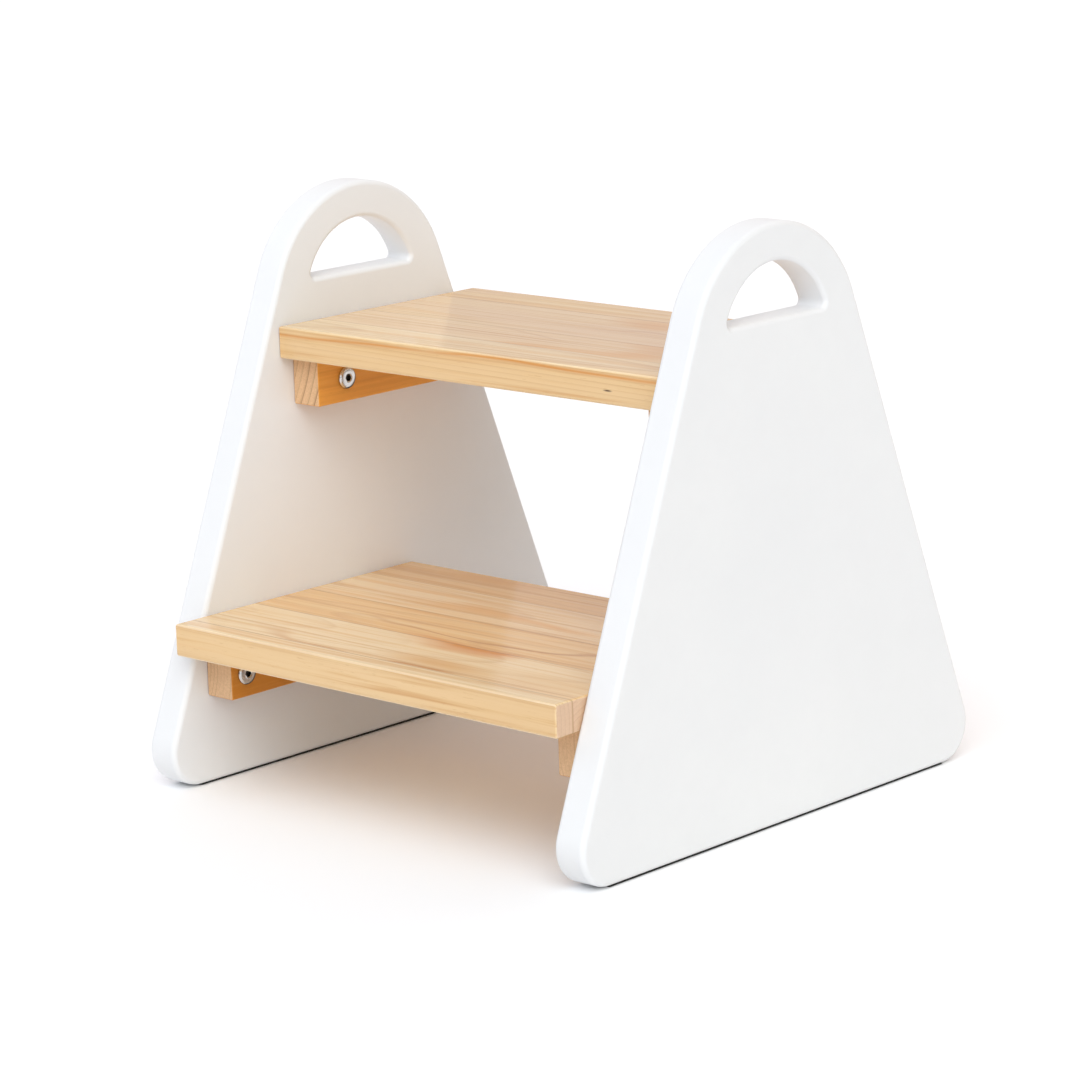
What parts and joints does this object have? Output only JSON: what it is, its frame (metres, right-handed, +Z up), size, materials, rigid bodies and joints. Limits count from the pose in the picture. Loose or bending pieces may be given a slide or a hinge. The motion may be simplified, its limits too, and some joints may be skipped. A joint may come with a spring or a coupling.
{
  "type": "step stool",
  "caption": "Two-step wooden stool for a small child: rounded-triangle white side panels with hand holes carry a deep lower tread and an upper tread on bolted cleats.",
  "frame": {"origin": "on the floor, midway between the two side panels and midway along their feet", "axes": "+Z up, the climbing side faces -Y, +X runs from the left panel to the right panel as seen from the climbing side"},
  "size_m": [0.36, 0.3574, 0.358],
  "materials": {
    "white_paint": "opaque satin white paint over a solid wooden board, soft rounded edges",
    "lacquered_pine": "clear satin lacquer over edge-glued pine staves with fine grain",
    "cleat_pine": "clear matt lacquer over pine, growth rings showing on the sawn ends",
    "nickel_plate": "bright nickel plate, turned head with a hexagon socket",
    "zinc_plate": "dull zinc plate",
    "insert_brass": "plain turned brass, hidden inside the panel",
    "black_rubber": "matt black non-slip rubber strip"
  },
  "bodies": {
    "root": {"side_panel_left": "white_paint", "floor_strip_left": "black_rubber", "side_panel_right": "white_paint", "floor_strip_right": "black_rubber", "tread_lower": "lacquered_pine", "tread_upper": "lacquered_pine", "cleat_lower_left": "cleat_pine", "cleat_lower_right": "cleat_pine", "cleat_upper_left": "cleat_pine", "cleat_upper_right": "cleat_pine", "bolt_lower_front_left": "nickel_plate", "bolt_lower_front_right": "nickel_plate", "bolt_lower_rear_left": "nickel_plate", "bolt_lower_rear_right": "nickel_plate", "bolt_upper_front_left": "nickel_plate", "bolt_upper_front_right": "nickel_plate", "bolt_upper_rear_left": "nickel_plate", "bolt_upper_rear_right": "nickel_plate", "insert_lower_front_left": "insert_brass", "insert_lower_front_right": "insert_brass", "insert_lower_rear_left": "insert_brass", "insert_lower_rear_right": "insert_brass", "insert_upper_front_left": "insert_brass", "insert_upper_front_right": "insert_brass", "insert_upper_rear_left": "insert_brass", "insert_upper_rear_right": "insert_brass", "screw_lower_front_left": "zinc_plate", "screw_lower_front_right": "zinc_plate", "screw_lower_rear_left": "zinc_plate", "screw_lower_rear_right": "zinc_plate", "screw_upper_front_left": "zinc_plate", "screw_upper_front_right": "zinc_plate", "screw_upper_rear_left": "zinc_plate", "screw_upper_rear_right": "zinc_plate"}
  },
  "joints": []
}
